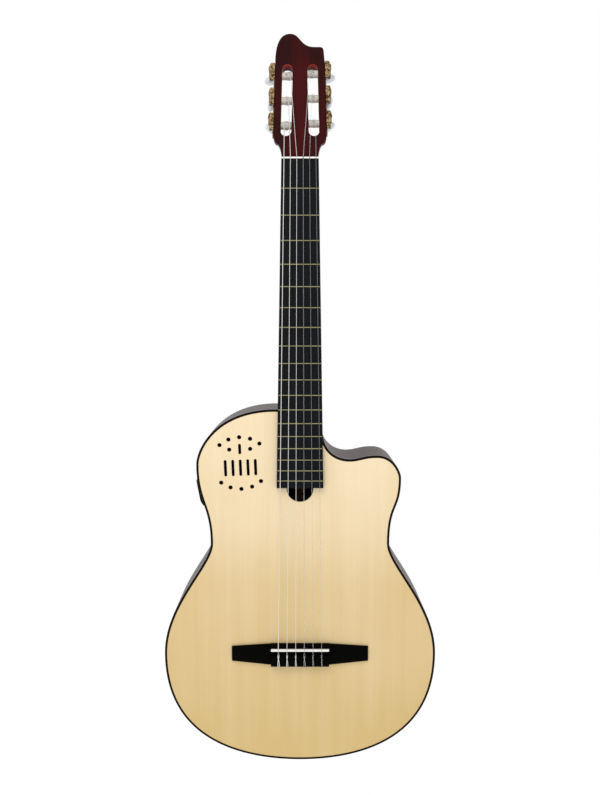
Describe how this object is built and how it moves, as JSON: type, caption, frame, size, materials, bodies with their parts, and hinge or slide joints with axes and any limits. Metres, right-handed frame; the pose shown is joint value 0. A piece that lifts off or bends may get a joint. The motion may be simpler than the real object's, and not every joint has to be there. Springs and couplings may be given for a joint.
{
  "type": "guitar",
  "caption": "Nylon-string guitar with a rounded cutaway, a slotted head with open tuning machines, a half-moon sound opening and a control unit in the rib.",
  "frame": {"origin": "on the fingerboard's face at the nut, on the centreline, where the vibrating length of the strings starts", "axes": "+Z along the neck towards the head, +Y from the soundboard to the back, +X to the treble side"},
  "size_m": [0.3692, 0.1133, 0.9974],
  "materials": {
    "spruce": "satin lacquered spruce",
    "binding": "black edge binding",
    "rosewood": "glossy dark rosewood",
    "mahogany": "glossy dark red mahogany",
    "cedar": "bare cedar",
    "ebony": "oiled ebony",
    "fret": "polished fret wire",
    "bone": "white bone",
    "bridge": "black-stained wood",
    "wound_string": "silver winding on a nylon core",
    "nylon_string": "clear nylon",
    "plate": "polished brass plate",
    "roller": "white roller with a brass gear",
    "shaft": "pearly button on a brass shaft",
    "control": "black moulded plastic",
    "slider": "grey moulded plastic",
    "jack": "polished chrome"
  },
  "bodies": {
    "guitar": {"soundboard": "spruce", "back_plate": "rosewood", "side_bass": "rosewood", "side_treble": "rosewood", "binding_top": "binding", "binding_back": "binding", "lining_top": "cedar", "lining_back": "cedar", "tail_block": "cedar", "neck": "mahogany", "fingerboard": "ebony", "fret_01": "fret", "fret_02": "fret", "fret_03": "fret", "fret_04": "fret", "fret_05": "fret", "fret_06": "fret", "fret_07": "fret", "fret_08": "fret", "fret_09": "fret", "fret_10": "fret", "fret_11": "fret", "fret_12": "fret", "fret_13": "fret", "fret_14": "fret", "fret_15": "fret", "fret_16": "fret", "fret_17": "fret", "fret_18": "fret", "nut": "bone", "bridge": "bridge", "saddle": "bone", "string_1": "nylon_string", "string_2": "nylon_string", "string_3": "nylon_string", "string_4": "wound_string", "string_5": "wound_string", "string_6": "wound_string", "machine_plate_bass": "plate", "machine_plate_treble": "plate", "control_housing": "control", "end_pin_jack": "jack", "top_bracing": "cedar", "back_bracing": "cedar"},
    "tuning_shaft_1": {"tuning_shaft_1": "shaft"},
    "roller_1": {"roller_1": "roller"},
    "tuning_shaft_2": {"tuning_shaft_2": "shaft"},
    "roller_2": {"roller_2": "roller"},
    "tuning_shaft_3": {"tuning_shaft_3": "shaft"},
    "roller_3": {"roller_3": "roller"},
    "tuning_shaft_4": {"tuning_shaft_4": "shaft"},
    "roller_4": {"roller_4": "roller"},
    "tuning_shaft_5": {"tuning_shaft_5": "shaft"},
    "roller_5": {"roller_5": "roller"},
    "tuning_shaft_6": {"tuning_shaft_6": "shaft"},
    "roller_6": {"roller_6": "roller"},
    "volume_knob": {"volume_knob": "control"},
    "bass_slider": {"bass_slider": "slider"},
    "treble_slider": {"treble_slider": "slider"},
    "battery_tray": {"battery_tray": "control"}
  },
  "joints": [
    {"name": "tuning_shaft_1_turn", "type": "hinge", "parent": "guitar", "child": "tuning_shaft_1", "pos_m": [0.0389, 0.02356, 0.05819], "axis": [0, 0.9703, -0.2419], "continuous": true},
    {"name": "roller_1_turn", "type": "hinge", "parent": "guitar", "child": "roller_1", "pos_m": [0.0389, 0.02153, 0.05004], "axis": [1, 0, 0], "continuous": true},
    {"name": "tuning_shaft_2_turn", "type": "hinge", "parent": "guitar", "child": "tuning_shaft_2", "pos_m": [0.0389, 0.03203, 0.09215], "axis": [0, 0.9703, -0.2419], "continuous": true},
    {"name": "roller_2_turn", "type": "hinge", "parent": "guitar", "child": "roller_2", "pos_m": [0.0389, 0.03, 0.084], "axis": [1, 0, 0], "continuous": true},
    {"name": "tuning_shaft_3_turn", "type": "hinge", "parent": "guitar", "child": "tuning_shaft_3", "pos_m": [0.0389, 0.0405, 0.12611], "axis": [0, 0.9703, -0.2419], "continuous": true},
    {"name": "roller_3_turn", "type": "hinge", "parent": "guitar", "child": "roller_3", "pos_m": [0.0389, 0.03846, 0.11796], "axis": [1, 0, 0], "continuous": true},
    {"name": "tuning_shaft_4_turn", "type": "hinge", "parent": "guitar", "child": "tuning_shaft_4", "pos_m": [-0.0389, 0.03977, 0.1232], "axis": [0, 0.9703, -0.2419], "continuous": true},
    {"name": "roller_4_turn", "type": "hinge", "parent": "guitar", "child": "roller_4", "pos_m": [-0.0389, 0.03774, 0.11505], "axis": [1, 0, 0], "continuous": true},
    {"name": "tuning_shaft_5_turn", "type": "hinge", "parent": "guitar", "child": "tuning_shaft_5", "pos_m": [-0.0389, 0.0313, 0.08924], "axis": [0, 0.9703, -0.2419], "continuous": true},
    {"name": "roller_5_turn", "type": "hinge", "parent": "guitar", "child": "roller_5", "pos_m": [-0.0389, 0.02927, 0.08109], "axis": [1, 0, 0], "continuous": true},
    {"name": "tuning_shaft_6_turn", "type": "hinge", "parent": "guitar", "child": "tuning_shaft_6", "pos_m": [-0.0389, 0.02284, 0.05528], "axis": [0, 0.9703, -0.2419], "continuous": true},
    {"name": "roller_6_turn", "type": "hinge", "parent": "guitar", "child": "roller_6", "pos_m": [-0.0389, 0.02081, 0.04713], "axis": [1, 0, 0], "continuous": true},
    {"name": "volume_knob_turn", "type": "hinge", "parent": "guitar", "child": "volume_knob", "pos_m": [-0.1355, 0.078, -0.4407], "axis": [-0.9687, 0, -0.2483], "range_deg": [-135, 135]},
    {"name": "bass_slider_slide", "type": "slide", "parent": "guitar", "child": "bass_slider", "axis": [0.2483, 0, -0.9687], "range_m": [-0.008, 0.008]},
    {"name": "treble_slider_slide", "type": "slide", "parent": "guitar", "child": "treble_slider", "axis": [0.2483, 0, -0.9687], "range_m": [-0.008, 0.008]},
    {"name": "battery_tray_slide", "type": "slide", "parent": "guitar", "child": "battery_tray", "axis": [-0.9687, 0, -0.2483], "range_m": [0, 0.045]}
  ],
  "couplings": [
    {"joint": "roller_1_turn", "follows": "tuning_shaft_1_turn", "ratio": 0.071429},
    {"joint": "roller_2_turn", "follows": "tuning_shaft_2_turn", "ratio": 0.071429},
    {"joint": "roller_3_turn", "follows": "tuning_shaft_3_turn", "ratio": 0.071429},
    {"joint": "roller_4_turn", "follows": "tuning_shaft_4_turn", "ratio": 0.071429},
    {"joint": "roller_5_turn", "follows": "tuning_shaft_5_turn", "ratio": 0.071429},
    {"joint": "roller_6_turn", "follows": "tuning_shaft_6_turn", "ratio": 0.071429}
  ]
}
